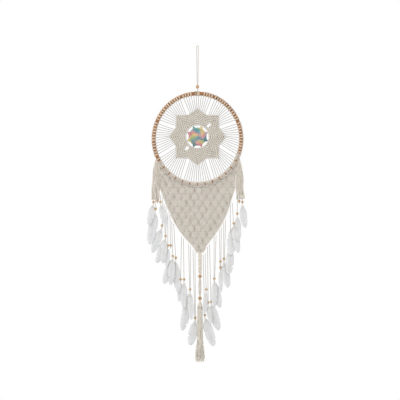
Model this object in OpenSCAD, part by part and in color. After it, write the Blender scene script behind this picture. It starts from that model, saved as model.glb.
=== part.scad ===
// Dream catcher: a rattan hoop with a knotted star web, a knotted V panel, and strands with beads
// and feathers. Millimetres. +Z is up, +X is to the right seen from the front, and the front faces -Y.
// The origin is the inside top of the hanging loop, where the nail or hook carries the object.

/* [Hanging loop] */
// Diameter of the loop's cord
loop_cord_d = 2; // [1.6:0.1:2.2]
// Radius of the loop's top bend, to the cord's middle
loop_bend_r = 2.8; // [2.6:0.1:3]
// Diameter of the wooden bead on the loop
top_bead_d = 11; // [10.5:0.1:11.5]

/* [Hoop] */
// Half of the hoop's width, to the middle of the rattan
hoop_half_w = 143; // [142:0.5:144]
// Half of the hoop's height, to the middle of the rattan
hoop_half_h = 148.5; // [148:0.5:149]
// Diameter of the rattan
rattan_d = 12.6; // [12:0.1:12.8]
// Height of the hoop's middle below the origin
hoop_drop = 304; // [303.5:0.1:304.5]

/* [Web and star] */
// Diameter of a web string
string_d = 1.3; // [1:0.1:1.5]
// Strings in the fan of one petal
strings_per_petal = 12; // [8:2:12]
// Angle between neighbouring strings at the hoop
string_pitch = 3.6; // [3.2:0.1:3.6]
// Depth of the star's middle below the origin
star_drop = 296.5; // [296:0.5:304]
// Reach of the four upright and level petals
petal_r_square = 93; // [90:1:95]
// Reach of the four slanted petals
petal_r_slant = 98.5; // [97:0.5:101]
// Radius of the valleys between petals
petal_r_valley = 77.5; // [74:0.5:79]
// Radius of the hole in the star
star_hole_r = 37; // [36:0.5:40]
// Thickness of the knotted star
star_t = 5; // [4:0.5:6]

/* [Knotted panel] */
// Thickness of the knotted panel
panel_t = 5; // [4:0.5:6]
// Height of the panel's swing line
panel_hinge_z = -466; // [-467:0.5:-466]

/* [Strands] */
// Diameter of a strand's cord
cord_d = 1.7; // [1.4:0.1:1.7]
// Diameter of a strand's bead
bead_d = 9; // [8:0.5:9]
// Radius of the bore in a strand's bead
bead_bore_r = 1.9; // [1.9:0.05:2.1]
// Thickness of a feather
feather_t = 1.2; // [0.8:0.1:1.4]

/* [Centre tassel] */
// Diameter of the two wooden beads over the tassel
centre_bead_d = 12.4; // [12:0.1:13]
// Diameter of the braid
braid_d = 11; // [10:0.5:11.5]

/* [Hidden] */
$fn = 48;
gap = 0.3;

// Hanging loop, bead and neck
bead_z = -133;
top_bead_bore_r = 2.8;
leg_foot_x = 1.15;
knot_top_z = -138;
knot_h = 5;
knot_r = 3.2;
neck_r = 1.1;
neck_end_z = -146;

// The hoop is an oval of four tangent arcs that meet at 45 degrees
arc_shift = (hoop_half_h - hoop_half_w) / (2 - sqrt(2));
side_arc_r = hoop_half_w + arc_shift;
end_arc_r = hoop_half_h - arc_shift;
rattan_r = rattan_d / 2;

// Hitches round the rattan, counted in degrees from the hoop's right side
hitch_r = 7.6;
hitch_w = 5;
string_hitch_from = -17;
string_hitch_to = 207;
top_wrap_w = 17;
fringe_from = 207.5;
fringe_pitch = 10.4;
fringe_count = 13;
fringe_w = 22.5;
fringe_r = 8;
yoke_gap = 0.8;

petal_gap = 0.4;
string_crowding = 0.92;
string_inset = 1.2;
valley_turn = 21.5;
star_core_r = 20;
medallion_r = 29.5;
medallion_t = 4;
point_w = 13;

// Panel outline below its swing line, from the left edge round the tip to the right edge
panel_top_x = 123;
panel_edge = [[-panel_top_x, panel_hinge_z], [-105, -513], [-80, -571], [-48, -621], [-13, -660], [-4, -676],
              [19, -676], [32, -651], [59, -616], [89, -566], [109, -510], [panel_top_x, panel_hinge_z]];
wing_x = 152.5;
wing_z = -395.2;
wing_top_z = -389;
shoulder_x = 125.5;

cord_spread = 1.3;
bead_grip = 3;
cord_gap = 0.03;
quill_share = 0.08;
quill_r = 0.4;
side_hinge_z = -399;
side_t = 7;
side_x_out = 151.5;
side_x_in = 126.5;

// Centre: braid, beads, cords and tassel on one line under the panel's tip
centre_x = 8;
centre_hinge_z = -679;
braid_end_z = -743;
core_gap = 1.25;
core_r = 1.1;
centre_bead_z = [-753, -825];
tassel_top_z = -834;
tassel_end_z = -1034;

// One row for each strand: where it is tied, its beads, and its feathers. A feather is the bead that
// it hangs from, its length, its lean to the outside in degrees, its width and its distance to the front.
LEFT = [
    [[-117, -491], [[-121.3, -510], [-116, -587]],
        [[0, 68, -5, 13, 4], [1, 87, 15, 17, 0]]],
    [[-106, -519.5], [[-104.5, -622]],
        [[0, 84, 16, 13, 0], [0, 86, 8, 11, 3]]],
    [[-93.5, -548.5], [[-97, -652], [-87.8, -652]],
        [[0, 60, 2, 12, 0]]],
    [[-81, -577], [[-81, -687], [-71, -692]],
        [[0, 89, 13, 19, 0], [0, 88, 3, 16, 3], [1, 100, 0, 15, 0]]],
    [[-49, -626], [[-55.5, -763], [-44, -763]],
        [[0, 60, 0, 9, 0], [1, 84, 0, 13, 0]]],
    [[-26, -651.5], [[-24.5, -796]],
        [[0, 124, 7, 14, 0], [0, 90, -2, 12, 3]]],
    [[-11.5, -670.5], [[-7.5, -889]],
        [[0, 84, 9, 16, 0]]]
];
RIGHT = [
    [[110.5, -516], [[108, -655], [118.5, -580]],
        [[0, 82, -2, 15, 3], [1, 100, 0, 13, 0]]],
    [[89, -573.5], [[86.5, -696]],
        [[0, 85, 7, 19, 0]]],
    [[75, -596.5], [[75, -705], [75, -724]],
        [[1, 72, 0, 9, 0]]],
    [[57.5, -621], [[55, -761]],
        [[0, 86, 9, 15, 0], [0, 88, 1, 12, 3]]],
    [[36, -652.5], [[35, -839], [44.5, -836]],
        [[1, 86, 13, 16, 0], [0, 60, 8, 9, 3]]],
    [[21.5, -679.5], [[24, -880], [28.5, -796]],
        [[0, 92, 14, 18, 0], [1, 70, -5, 8, 4]]]
];
// Beads and feathers that hang from the two side bunches, in the same form
LEFT_SIDE = [[[-144, -510], [-131, -506], [-137, -532]], [[0, 66, 14, 10, 0], [2, 108, 6, 15, 0]]];
RIGHT_SIDE = [[[136.2, -507], [146.5, -510], [130, -548]], [[1, 66, 4, 15, 0], [2, 80, 2, 13, 0]]];

function strand_names(side, count, what) = [for (i = [1:count]) str(side, "_", what, "_", i)];

// Point of the hoop's middle line whose outward normal is at angle a
function hoop_point(a) = abs(cos(a)) > abs(sin(a))
    ? [side_arc_r * cos(a) - sign(cos(a)) * arc_shift, side_arc_r * sin(a)]
    : [end_arc_r * cos(a), end_arc_r * sin(a) + sign(sin(a)) * arc_shift];

function petal_reach(k) = k % 2 == 0 ? petal_r_square : petal_r_slant;
function polar(r, a) = [r * cos(a), r * sin(a)];

// Share of a feather's length at share t of its vane
function vane_at(t) = quill_share + (1 - quill_share) * t;
// Outline of a feather from its quill down: narrow at the root, widest below the middle, round at the tip
function feather_half(t, w) = w / 2 * pow(sin(180 * pow(t, 0.8)), 0.6);
function feather_outline(l, w) = concat(
    [for (i = [0:10]) [feather_half(i / 10, w) + quill_r, -l * vane_at(i / 10)]],
    [for (i = [10:-1:0]) [-feather_half(i / 10, w) - quill_r, -l * vane_at(i / 10)]]);

// A rod between two points
module rod(a, b, r) {
    d = b - a;
    tilt = acos(d[2] / norm(d));
    turn = atan2(d[1], d[0]);
    translate(a) rotate([0, tilt, turn]) cylinder(r = r, h = norm(d), $fn = 24);
}

// A bored ball whose bore runs along Z
module bead(d, bore_r) {
    difference() {
        sphere(d = d);
        cylinder(r = bore_r, h = d + 2, center = true);
    }
}

// A flat shape drawn in X and Z, given a thickness about the plane Y = 0
module upright(t) {
    rotate([90, 0, 0]) translate([0, 0, -t / 2]) linear_extrude(t) children();
}

// A sleeve round the rattan at angle a of the hoop
module hoop_sleeve(a, w, inner_r, outer_r) {
    p = hoop_point(a);
    translate([p[0], 0, p[1] - hoop_drop]) rotate([0, -a, 0]) difference() {
        cylinder(r = outer_r, h = w, center = true);
        cylinder(r = inner_r, h = w + 2, center = true);
    }
}

module hanging_loop() {
    bend_z = loop_cord_d / 2 - loop_bend_r;
    r = loop_cord_d / 2;
    color("linen") {
        translate([0, 0, bend_z]) rotate([90, 0, 0])
            rotate_extrude(angle = 180) translate([loop_bend_r, 0]) circle(r = r);
        for (s = [-1, 1]) {
            translate([s * loop_bend_r, 0, bend_z]) sphere(r = r);
            rod([s * loop_bend_r, 0, bend_z], [s * leg_foot_x, 0, knot_top_z - 1], r);
        }
        translate([0, 0, knot_top_z - knot_h]) cylinder(r = knot_r, h = knot_h);
    }
}

module top_bead() {
    color("burlywood") translate([0, 0, bead_z]) bead(top_bead_d, top_bead_bore_r);
}

module neck_cord() {
    color("linen") {
        translate([0, 0, neck_end_z]) sphere(r = neck_r);
        translate([0, 0, neck_end_z]) cylinder(r = neck_r, h = knot_top_z - knot_h - gap - neck_end_z);
    }
}

module hoop_ring() {
    color("saddlebrown") translate([0, 0, -hoop_drop]) rotate([90, 0, 0]) {
        for (s = [0, 1]) {
            rotate(180 * s) translate([-arc_shift, 0, 0]) rotate(-45)
                rotate_extrude(angle = 90) translate([side_arc_r, 0]) circle(r = rattan_r);
            rotate(180 * s) translate([0, arc_shift, 0]) rotate(45)
                rotate_extrude(angle = 90) translate([end_arc_r, 0]) circle(r = rattan_r);
        }
    }
}

module string_hitches() {
    half = (strings_per_petal - 1) / 2;
    color("wheat") {
        for (k = [0:7], j = [0:strings_per_petal - 1]) {
            a = 45 * k + string_pitch * (j - half);
            b = a < string_hitch_from ? a + 360 : a;
            if (b < string_hitch_to && abs(b - 90) > 6) hoop_sleeve(b, hitch_w, rattan_r + 0.05, hitch_r);
        }
        hoop_sleeve(90, top_wrap_w, rattan_r + 0.3, hitch_r);
    }
}

module fringe_hitches() {
    color("ivory") for (i = [0:fringe_count - 1])
        hoop_sleeve(fringe_from + fringe_pitch * (i + 0.5), fringe_w, rattan_r + 0.6, fringe_r);
}

module web_strings() {
    half = (strings_per_petal - 1) / 2;
    color("gainsboro") translate([0, 0, -hoop_drop])
        for (k = [0:7], j = [0:strings_per_petal - 1]) {
            side = sign(j - half);
            from_tip = (abs(j - half) - 0.5) / half * string_crowding;
            tip = polar(petal_reach(k) + string_inset, 45 * k + side);
            valley = polar(petal_r_valley + string_inset, 45 * k + side * valley_turn);
            inner = tip + (valley - tip) * from_tip + [0, hoop_drop - star_drop];
            a = 45 * k + string_pitch * (j - half);
            p = hoop_point(a);
            outer = p - polar(fringe_r + 0.4, a);
            rod([inner[0], 0, inner[1]], [outer[0], 0, outer[1]], string_d / 2);
        }
}

module star_petals() {
    color("tan") translate([0, 0, -star_drop]) upright(star_t) for (k = [0:7]) difference() {
        turn = 22.5 - petal_gap / petal_r_valley * 180 / PI / 2;
        polygon([polar(petal_reach(k), 45 * k), polar(petal_r_valley, 45 * k + turn),
                 polar(star_core_r, 45 * k + turn), polar(star_core_r, 45 * k - turn),
                 polar(petal_r_valley, 45 * k - turn)]);
        circle(r = star_hole_r);
    }
}

module medallion() {
    reach = star_hole_r - 0.3;
    color("cadetblue") translate([0, 0, -star_drop]) upright(medallion_t) {
        circle(r = medallion_r);
        for (k = [0:7]) rotate(45 * k + 22.5)
            polygon([[medallion_r - 4, -point_w / 2], [reach, -1], [reach, 1], [medallion_r - 4, point_w / 2]]);
    }
}

module fringe_yoke() {
    floor_z = panel_hinge_z + panel_t / 2 + gap;
    rim = [for (a = [207:6:333]) hoop_point(a) + polar(fringe_r + yoke_gap, a) - [0, hoop_drop]];
    color("antiquewhite") upright(panel_t)
        polygon(concat([[-wing_x, wing_z], [-wing_x, wing_top_z]], rim,
                       [[wing_x, wing_top_z], [wing_x, wing_z], [shoulder_x, wing_z],
                        [shoulder_x, floor_z], [-shoulder_x, floor_z], [-shoulder_x, wing_z]]));
}

module knotted_panel() {
    color("antiquewhite") {
        upright(panel_t) polygon(panel_edge);
        translate([1 - panel_top_x, 0, panel_hinge_z]) rotate([0, 90, 0])
            cylinder(d = panel_t, h = 2 * (panel_top_x - 1));
    }
}

// A flat bunch of cords that hangs from one end of the fringe; s is -1 for left and 1 for right
module bunch(s, ends, foot_z) {
    left_x = s < 0 ? -side_x_out : side_x_in;
    w = side_x_out - side_x_in;
    color("cornsilk") {
        translate([left_x, -side_t / 2, foot_z]) cube([w, side_t, side_hinge_z - foot_z]);
        translate([left_x, 0, side_hinge_z]) rotate([0, 90, 0]) cylinder(d = side_t, h = w);
        for (e = ends) rod([e[0], 0, foot_z], [e[0], 0, e[1] - bead_grip], cord_d / 2);
    }
}

module beads_at(places, tint) {
    color(tint) for (p = places) translate([p[0], 0, p[1]]) bead(bead_d, bead_bore_r);
}

// Feathers below their beads; s is -1 where outside means left and 1 where it means right
module feathers_at(places, feathers, s) {
    color("whitesmoke") for (f = feathers) {
        p = places[f[0]];
        translate([p[0], -f[4], p[1] - bead_d / 2 - 0.5]) rotate([0, -s * f[2], 0])
            upright(feather_t) polygon(feather_outline(f[1], f[3]));
    }
}

// The pair of cords of one strand: one to each of its beads, or both through beads on one line
module strand_cords(strand) {
    tie = strand[0];
    beads = strand[1];
    parted = beads[0][0] != beads[len(beads) - 1][0];
    color("linen") for (s = [-1, 1]) {
        goal = parted ? beads[s < 0 ? 0 : 1] : beads[len(beads) - 1];
        aside = parted ? 0 : s * (cord_d / 2 + cord_gap);
        rod([tie[0] + s * cord_spread, 0, tie[1]], [goal[0] + aside, 0, goal[1] - bead_grip], cord_d / 2);
    }
}

module centre_braid() {
    color("antiquewhite") {
        translate([centre_x, 0, braid_end_z]) cylinder(d = braid_d, h = centre_hinge_z - 4 - braid_end_z);
        rod([centre_x, 0, centre_hinge_z - 5], [centre_x, 0, centre_hinge_z], 2);
        for (s = [-1, 1], u = [-1, 1])
            rod([centre_x + s * core_gap, u * core_gap, braid_end_z + 1],
                [centre_x + s * core_gap, u * core_gap, tassel_top_z], core_r);
    }
}

module centre_beads() {
    color("peru") for (z = centre_bead_z) translate([centre_x, 0, z]) bead(centre_bead_d, 3.2);
}

module centre_tassel() {
    color("cornsilk") translate([centre_x, 0, 0]) rotate_extrude()
        polygon([[0, tassel_end_z], [18, tassel_end_z], [10.5, tassel_end_z + 70], [8.5, tassel_top_z - 20],
                 [5, tassel_top_z - 2], [3, tassel_top_z], [0, tassel_top_z]]);
}

hanging_loop();
top_bead();
neck_cord();
hoop_ring();
string_hitches();
fringe_hitches();
web_strings();
star_petals();
medallion();
fringe_yoke();
knotted_panel();
centre_braid();
centre_beads();
centre_tassel();
bunch(-1, LEFT_SIDE[0], -500);  // left_bunch
beads_at(LEFT_SIDE[0], "goldenrod");  // left_bunch_beads
feathers_at(LEFT_SIDE[0], LEFT_SIDE[1], -1);  // left_bunch_feathers
bunch(1, RIGHT_SIDE[0], -499);  // right_bunch
beads_at(RIGHT_SIDE[0], "goldenrod");  // right_bunch_beads
feathers_at(RIGHT_SIDE[0], RIGHT_SIDE[1], 1);  // right_bunch_feathers
for (i = [1:len(LEFT)]) {
    strand_cords(LEFT[i - 1]);
    beads_at(LEFT[i - 1][1], "goldenrod");
    feathers_at(LEFT[i - 1][1], LEFT[i - 1][2], -1);
}
for (i = [1:len(RIGHT)]) {
    strand_cords(RIGHT[i - 1]);
    beads_at(RIGHT[i - 1][1], "goldenrod");
    feathers_at(RIGHT[i - 1][1], RIGHT[i - 1][2], 1);
}
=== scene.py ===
import math

import bpy
import numpy as np
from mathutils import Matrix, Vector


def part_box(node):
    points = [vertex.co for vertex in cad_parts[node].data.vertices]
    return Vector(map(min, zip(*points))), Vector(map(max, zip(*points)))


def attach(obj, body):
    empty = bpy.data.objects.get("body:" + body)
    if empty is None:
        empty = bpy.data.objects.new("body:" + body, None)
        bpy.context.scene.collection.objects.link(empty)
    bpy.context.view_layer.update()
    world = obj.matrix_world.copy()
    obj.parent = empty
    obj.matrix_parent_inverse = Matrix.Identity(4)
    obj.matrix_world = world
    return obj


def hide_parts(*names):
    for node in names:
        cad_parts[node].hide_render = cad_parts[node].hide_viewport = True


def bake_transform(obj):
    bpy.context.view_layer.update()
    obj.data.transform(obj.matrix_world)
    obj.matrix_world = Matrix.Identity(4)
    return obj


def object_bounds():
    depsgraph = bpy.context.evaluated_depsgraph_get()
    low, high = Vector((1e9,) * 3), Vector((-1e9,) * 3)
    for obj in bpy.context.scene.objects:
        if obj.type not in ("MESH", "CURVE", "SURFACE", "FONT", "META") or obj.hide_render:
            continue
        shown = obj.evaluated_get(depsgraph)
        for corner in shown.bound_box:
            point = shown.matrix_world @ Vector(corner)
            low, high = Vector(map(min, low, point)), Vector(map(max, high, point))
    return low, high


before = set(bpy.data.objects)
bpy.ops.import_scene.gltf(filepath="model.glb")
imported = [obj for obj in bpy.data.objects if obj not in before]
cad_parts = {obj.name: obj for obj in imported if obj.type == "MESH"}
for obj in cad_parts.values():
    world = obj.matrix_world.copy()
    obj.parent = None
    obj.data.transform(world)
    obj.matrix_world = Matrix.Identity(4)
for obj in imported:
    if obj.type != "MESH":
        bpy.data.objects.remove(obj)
cad_low, cad_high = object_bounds()
scene = bpy.context.scene

# ---- Studio ----------------------------------------------------------------------------------------
# The catcher hangs in a white room, seen square from the front. One large soft lamp stands to the
# front left above it, the white walls give the rest of the light, and a small pale floor lies below.
camera_distance = 6.0
view_width = 1.308
camera_aside = 0.0082
camera_above_middle = 0.0124
camera = bpy.data.objects.new("camera", bpy.data.cameras.new("camera"))
camera.data.lens = camera.data.sensor_width * camera_distance / view_width
camera.location = (camera_aside, -camera_distance, (cad_low.z + cad_high.z) / 2 + camera_above_middle)
camera.rotation_euler = (math.pi / 2, 0, 0)
scene.collection.objects.link(camera)
scene.camera = camera

lamp = bpy.data.objects.new("soft_lamp", bpy.data.lights.new("soft_lamp", "AREA"))
lamp.data.size = 2.2
lamp.data.energy = 38
lamp.location = (-2.1, -2.6, 1.3)
lamp.rotation_euler = (math.radians(58), 0, math.radians(-39))
scene.collection.objects.link(lamp)

room = bpy.data.worlds.new("white_room")
room.use_nodes = True
room.node_tree.nodes["Background"].inputs["Color"].default_value = (1, 1, 1, 1)
room.node_tree.nodes["Background"].inputs["Strength"].default_value = 1.0
scene.world = room
scene.view_settings.view_transform = "Standard"

floor_radius = 0.5
floor_drop = 0.216
ring = np.linspace(0, 2 * math.pi, 64, endpoint=False)
rim_z = np.full(len(ring), cad_low.z - floor_drop)
rim = np.stack([floor_radius * np.cos(ring), floor_radius * np.sin(ring), rim_z], -1)
floor_mesh = bpy.data.meshes.new("floor")
floor_mesh.from_pydata(rim.tolist(), [], [list(range(len(rim)))])
floor = bpy.data.objects.new("floor", floor_mesh)
floor_paint = bpy.data.materials.new("floor_paint")
floor_paint.use_nodes = True
floor_paint.node_tree.nodes["Principled BSDF"].inputs["Base Color"].default_value = (0.86, 0.86, 0.85, 1)
floor_paint.node_tree.nodes["Principled BSDF"].inputs["Roughness"].default_value = 0.9
floor.data.materials.append(floor_paint)
scene.collection.objects.link(floor)


# ---- Cords of the thirteen strands -------------------------------------------------------------------
# Undyed cotton cord, spun from three plies. Each strand is a pair of cords tied into the slanted edge of
# the knotted panel; each cord runs straight down through its wooden bead and is knotted under it.
class Shape:
    """Surfaces gathered into one mesh piece. A surface is a grid of points: closed rings, one after
    another. The mark is a number at each point that the finish reads."""

    def __init__(self):
        self.points = []
        self.quads = []
        self.quad_uv = []
        self.fans = []
        self.fan_uv = []
        self.marks = []
        self.size = 0

    def add(self, grid, along, mark=1.0, loop=False):
        """Joins each ring of the grid to the next. A loop joins the last ring to the first; otherwise a
        pole closes each end. The UV map holds the length along the surface and the share of a turn."""
        rings, sides = grid.shape[:2]
        corners = ((0, 0), (0, 1), (1, 1), (1, 0))
        i = np.arange(rings if loop else rings - 1)[:, None]
        j = np.arange(sides)[None, :]
        index = [(i + a) % rings * sides + (j + b) % sides for a, b in corners]
        u = [along[i + a] + 0.0 * j for a, b in corners]
        v = [(j + b) / sides + 0.0 * i for a, b in corners]
        self.quads.append(self.size + np.stack(index, -1).reshape(-1, 4))
        self.quad_uv.append(np.stack([np.stack(u, -1), np.stack(v, -1)], -1).reshape(-1, 2))
        self.points.append(grid.reshape(-1, 3))
        marks = np.broadcast_to(mark, (rings, sides))
        self.marks.append(marks.reshape(-1))
        if not loop:
            for end, pole, turn in ((0, 0, -1), (rings - 1, 1, 1)):
                centre = np.full(sides, self.size + rings * sides + pole)
                edge = self.size + end * sides + np.arange(sides)
                other = self.size + end * sides + (np.arange(sides) + 1) % sides
                fan = (centre, edge, other) if turn > 0 else (centre, other, edge)
                self.fans.append(np.stack(fan, -1))
                middle = (np.arange(sides) + 0.5) / sides
                self.fan_uv.append(np.repeat(np.stack([along[end] + 0 * middle, middle], -1), 3, 0))
                self.points.append(grid[end].mean(0)[None])
                self.marks.append(marks[end].mean()[None])
            self.size += 2
        self.size += rings * sides

    def piece(self, name, finish, body, slot, stands_for=(), mark_name="crest"):
        """Makes the smooth mesh piece, gives it its finish and hangs it on its body."""
        fans = np.concatenate(self.fans) if self.fans else np.zeros((0, 3), int)
        fan_uv = np.concatenate(self.fan_uv) if self.fans else np.zeros((0, 2))
        quads = np.concatenate(self.quads)
        sizes = np.concatenate([np.full(len(quads), 4), np.full(len(fans), 3)])
        corners = np.concatenate([quads.ravel(), fans.ravel()])
        points = np.concatenate(self.points)
        mesh = bpy.data.meshes.new(name)
        mesh.vertices.add(len(points))
        mesh.vertices.foreach_set("co", points.astype(np.float32).ravel())
        mesh.loops.add(len(corners))
        mesh.loops.foreach_set("vertex_index", corners.astype(np.int32))
        mesh.polygons.add(len(sizes))
        mesh.polygons.foreach_set("loop_start", (np.cumsum(sizes) - sizes).astype(np.int32))
        mesh.update(calc_edges=True)
        mesh.polygons.foreach_set("use_smooth", np.ones(len(sizes), bool))
        uv = np.concatenate([*self.quad_uv, fan_uv]).astype(np.float32)
        mesh.uv_layers.new(name="UVMap").data.foreach_set("uv", uv.ravel())
        mark = mesh.attributes.new(mark_name, "FLOAT", "POINT")
        mark.data.foreach_set("value", np.concatenate(self.marks).astype(np.float32))
        mesh.materials.append(finish)
        made = bpy.data.objects.new(name, mesh)
        scene.collection.objects.link(made)
        if body:
            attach(made, body)
        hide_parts(*stands_for)
        return made


def lengths(path):
    """How far along the path each of its points lies."""
    return np.concatenate([[0], np.cumsum(np.linalg.norm(np.diff(path, axis=0), axis=1))])


def swept(path, radius, sides=6, toward=(0, 1, 0), plies=3, lay=0.008, groove=0.22, loop=False):
    """Rings round a path: path(s) + r(a) (cos(a + w) side(s) + sin(a + w) front(s)). Front is the toward
    direction made square to the path, w turns once in every lay of length, and r is the radius, pressed in
    between the plies. Gives the grid, the length along it and how high each point is on its ply."""
    step = np.roll(path, -1, 0) - np.roll(path, 1, 0) if loop else np.gradient(path, axis=0)
    tangent = step / np.linalg.norm(step, axis=1, keepdims=True)
    front = np.broadcast_to(np.array(toward, float), path.shape)
    front = front - (front * tangent).sum(1, keepdims=True) * tangent
    front = front / np.linalg.norm(front, axis=1, keepdims=True)
    side = np.cross(front, tangent)
    along = lengths(np.concatenate([path, path[:1]]) if loop else path)
    round_turn = np.linspace(0, 2 * math.pi, sides, endpoint=False)[None, :]
    twist = 2 * math.pi * along[: len(path), None] / lay if plies else np.zeros((len(path), 1))
    crest = np.broadcast_to(np.abs(np.cos(plies * round_turn / 2)), (len(path), sides))
    reach = np.broadcast_to(radius, len(path))[:, None] * (1 - groove * (1 - crest) * (plies > 0))
    angle = round_turn + twist
    grid = path[:, None] + (reach * np.cos(angle))[..., None] * side[:, None]
    grid = grid + (reach * np.sin(angle))[..., None] * front[:, None]
    return grid, along, crest


def spaced(route, step):
    """The route again as evenly spaced points, rounded at its corners by a Catmull-Rom curve."""
    route = np.array(route, float)
    padded = np.concatenate([2 * route[:1] - route[1:2], route, 2 * route[-1:] - route[-2:-1]])
    share = np.linspace(0, 1, 12, endpoint=False)[None, :, None]
    a, b, c, d = (padded[k : len(route) - 1 + k, None] for k in range(4))
    curve = b + share / 2 * (c - a + share * (2 * a - 5 * b + 4 * c - d + share * (3 * (b - c) + d - a)))
    curve = np.concatenate([curve.reshape(-1, 3), route[-1:]])
    long = lengths(curve)
    at = np.linspace(0, long[-1], max(4, math.ceil(long[-1] / step) + 1))
    return np.stack([np.interp(at, long, curve[:, k]) for k in range(3)], -1)


def paint(red, green, blue):
    """A colour of a paint chart, 0 to 255 each, as the linear colour that a shader takes."""
    return tuple(((c / 255 + 0.055) / 1.055) ** 2.4 for c in (red, green, blue)) + (1.0,)


class Level:
    """A number that varies over a surface. Sums, products and the like of levels add Math nodes."""

    def __init__(self, finish, socket):
        self.finish = finish
        self.socket = socket

    def math(self, operation, *values):
        sockets = dict(enumerate(values))
        node = self.finish.add("ShaderNodeMath", {"operation": operation}, sockets)
        return Level(self.finish, node.outputs[0])

    def __add__(self, other):
        return self.math("ADD", self, other)

    def __radd__(self, other):
        return self.math("ADD", other, self)

    def __sub__(self, other):
        return self.math("SUBTRACT", self, other)

    def __rsub__(self, other):
        return self.math("SUBTRACT", other, self)

    def __mul__(self, other):
        return self.math("MULTIPLY", self, other)

    def __rmul__(self, other):
        return self.math("MULTIPLY", other, self)

    def wave(self):
        """Sine of this level counted in turns, moved to run from 0 to 1."""
        return self.math("SINE", self * (2 * math.pi)) * 0.5 + 0.5

    def clamp(self):
        return self.math("MINIMUM", self.math("MAXIMUM", self, 0.0), 1.0)


class Finish:
    """A material being built round one Principled shader."""

    def __init__(self, name, roughness, sheen=0.0):
        self.material = bpy.data.materials.new(name)
        self.material.use_nodes = True
        self.tree = self.material.node_tree
        self.shader = self.tree.nodes["Principled BSDF"]
        self.shader.inputs["Roughness"].default_value = roughness
        self.shader.inputs["Sheen Weight"].default_value = sheen
        self.shader.inputs["Specular IOR Level"].default_value = 0.3

    def add(self, kind, settings=(), sockets=()):
        """Puts in a node from its type, its settings and the values or links of its sockets."""
        node = self.tree.nodes.new(kind)
        for key, value in dict(settings).items():
            setattr(node, key, value)
        for key, value in dict(sockets).items():
            self.feed(node.inputs[key], value)
        return node

    def feed(self, socket, value):
        if isinstance(value, Level):
            self.tree.links.new(value.socket, socket)
        elif isinstance(value, bpy.types.NodeSocket):
            self.tree.links.new(value, socket)
        else:
            socket.default_value = value

    def mark(self, name):
        return Level(self, self.add("ShaderNodeAttribute", {"attribute_name": name}).outputs["Fac"])

    def noise(self, scale, detail=2.0, stretch=(1, 1, 1), where="Object"):
        """Cloudy noise, so many features to the metre, in object space or over the UV map."""
        place = self.add("ShaderNodeTexCoord").outputs[where]
        pulled = self.add("ShaderNodeVectorMath", {"operation": "MULTIPLY"}, {0: place, 1: stretch})
        sockets = {"Vector": pulled.outputs[0], "Scale": scale, "Detail": detail}
        return Level(self, self.add("ShaderNodeTexNoise", {}, sockets).outputs["Fac"])

    def mix(self, share, low, high):
        return self.add("ShaderNodeMix", {"data_type": "RGBA"}, {0: share, 6: low, 7: high}).outputs[2]

    def done(self, colour, height, depth, strength=0.6):
        """Sets the colour and a bump of that depth in metres, and gives the material."""
        self.feed(self.shader.inputs["Base Color"], colour)
        sockets = {"Height": height, "Distance": depth, "Strength": strength}
        self.feed(self.shader.inputs["Normal"], self.add("ShaderNodeBump", {}, sockets).outputs["Normal"])
        return self.material


def cotton(name, tint, painted_shade, patchy=0.35):
    """Spun cotton: the tint on the crest of each ply and a painted shade colour in the grooves between the
    plies, in slightly uneven patches, with short fibres over it that run along the cord."""
    finish = Finish(name, 0.9, sheen=0.2)
    patches = finish.noise(70.0)
    fibres = finish.noise(1.0, 2.0, (900, 40, 1), "UV")
    # Painted shade: the crest mark turns the colour toward the shade colour in the grooves between the plies
    # and, on hitched rows, between the knots and rows
    light = (finish.mark("crest") * 0.75 + patches * patchy + fibres * 0.3 - patchy / 2).clamp()
    return finish.done(finish.mix(light, painted_shade, tint), fibres, 0.0002)


strand_cord_d = 0.002
strand_spread = 0.0032
cord_gap = 0.00003
edge_slope = 1.1
tail_below_bead = 0.011
shortest_cord = 0.0304
cord_step = 0.0009
strand_cotton = cotton("undyed_strand_cotton", paint(212, 206, 196), paint(140, 131, 117))
# Where each strand is tied to the panel and where its beads hang, as x and z; y is 0
left_strands = [
    [(-0.117, -0.491), (-0.1213, -0.51), (-0.116, -0.587)],
    [(-0.106, -0.5195), (-0.1045, -0.622)],
    [(-0.0935, -0.5485), (-0.097, -0.652), (-0.0878, -0.652)],
    [(-0.081, -0.577), (-0.081, -0.687), (-0.071, -0.692)],
    [(-0.049, -0.626), (-0.0555, -0.763), (-0.044, -0.763)],
    [(-0.026, -0.6515), (-0.0245, -0.796)],
    [(-0.0115, -0.6705), (-0.0075, -0.889)],
]
right_strands = [
    [(0.1105, -0.516), (0.108, -0.655), (0.1185, -0.58)],
    [(0.089, -0.5735), (0.0865, -0.696)],
    [(0.075, -0.5965), (0.075, -0.705), (0.075, -0.724)],
    [(0.0575, -0.621), (0.055, -0.761)],
    [(0.036, -0.6525), (0.035, -0.839), (0.0445, -0.836)],
    [(0.0215, -0.6795), (0.024, -0.88), (0.0285, -0.796)],
]
strands = {f"left_strand_{n + 1}": row for n, row in enumerate(left_strands)}
strands.update({f"right_strand_{n + 1}": row for n, row in enumerate(right_strands)})


def strand_goal(row, side):
    """The bead that the left (-1) or right (1) cord of a strand hangs down to, as x and z: its own bead,
    or beside its fellow through the last of the beads that hang on one line."""
    parted = row[1][0] != row[-1][0]
    if parted:
        return row[1 if side < 0 else 2]
    return row[-1][0] + side * (strand_cord_d / 2 + cord_gap), row[-1][1]


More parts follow.
